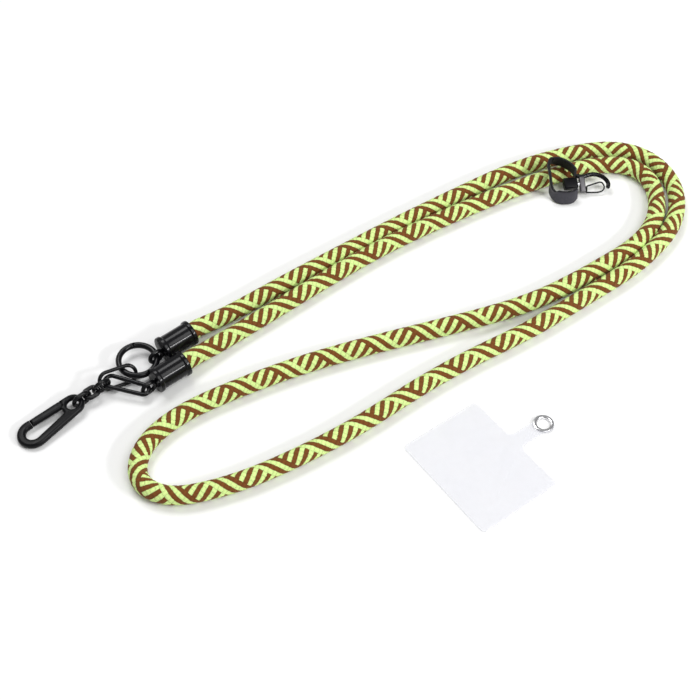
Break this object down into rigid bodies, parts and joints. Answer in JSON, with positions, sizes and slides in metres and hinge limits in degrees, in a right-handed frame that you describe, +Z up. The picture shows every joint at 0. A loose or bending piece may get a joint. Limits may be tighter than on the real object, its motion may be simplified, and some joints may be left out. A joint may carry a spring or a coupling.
{
  "type": "phone crossbody strap",
  "caption": "Doubled lime and brown braided rope strap laid flat, with black end caps, ring and carabiner, a keeper with a hook, and a clear phone tab.",
  "frame": {"origin": "on the table top, under the middle of the box round the hard pieces", "axes": "+X to the right along the laid-out strap, from the carabiner to the far bend; +Y away from the viewer; +Z up"},
  "size_m": [0.3588, 0.2679, 0.019],
  "materials": {
    "rope": "braided, lime and brown",
    "metal_gloss": "glossy black",
    "metal_satin": "satin black",
    "band": "matte dark grey",
    "gunmetal": "satin grey",
    "film": "clear, nearly white",
    "eyelet": "bright"
  },
  "bodies": {
    "strap": {"rope": "rope", "end_cap_upper": "metal_gloss", "end_cap_lower": "metal_gloss", "gate_ring_body": "metal_gloss", "long_link_ring": "metal_gloss", "long_link_cap": "metal_gloss", "chain_link_1": "metal_gloss", "chain_link_2": "metal_gloss", "swivel_collar": "metal_gloss", "carabiner_body": "metal_satin", "keeper_band": "band", "keeper_clamp": "metal_satin", "keeper_hook": "gunmetal", "phone_tab": "film", "tab_eyelet": "eyelet"},
    "carabiner_gate": {"carabiner_gate": "metal_satin"},
    "ring_gate": {"gate_ring_gate": "metal_gloss"},
    "hook_gate": {"keeper_hook_gate": "metal_gloss"}
  },
  "joints": [
    {"name": "carabiner_gate_hinge", "type": "hinge", "parent": "strap", "child": "carabiner_gate", "pos_m": [-0.13982, -0.05086, 0.00388], "axis": [-0.0582, -0.0552, 0.9968], "range_deg": [0, 22], "stiffness_Nm_per_rad": 0.02, "springref_deg": -17.19},
    {"name": "ring_gate_hinge", "type": "hinge", "parent": "strap", "child": "ring_gate", "pos_m": [-0.1072, -0.01303, 0.0058], "axis": [0.0747, -0.0498, 0.996], "range_deg": [0, 13], "stiffness_Nm_per_rad": 0.01, "springref_deg": -17.19},
    {"name": "hook_gate_hinge", "type": "hinge", "parent": "strap", "child": "hook_gate", "pos_m": [0.1449, 0.10755, 0.0037], "axis": [0, 0.4472, 0.8944], "range_deg": [0, 14], "stiffness_Nm_per_rad": 0.003, "springref_deg": -17.19}
  ]
}
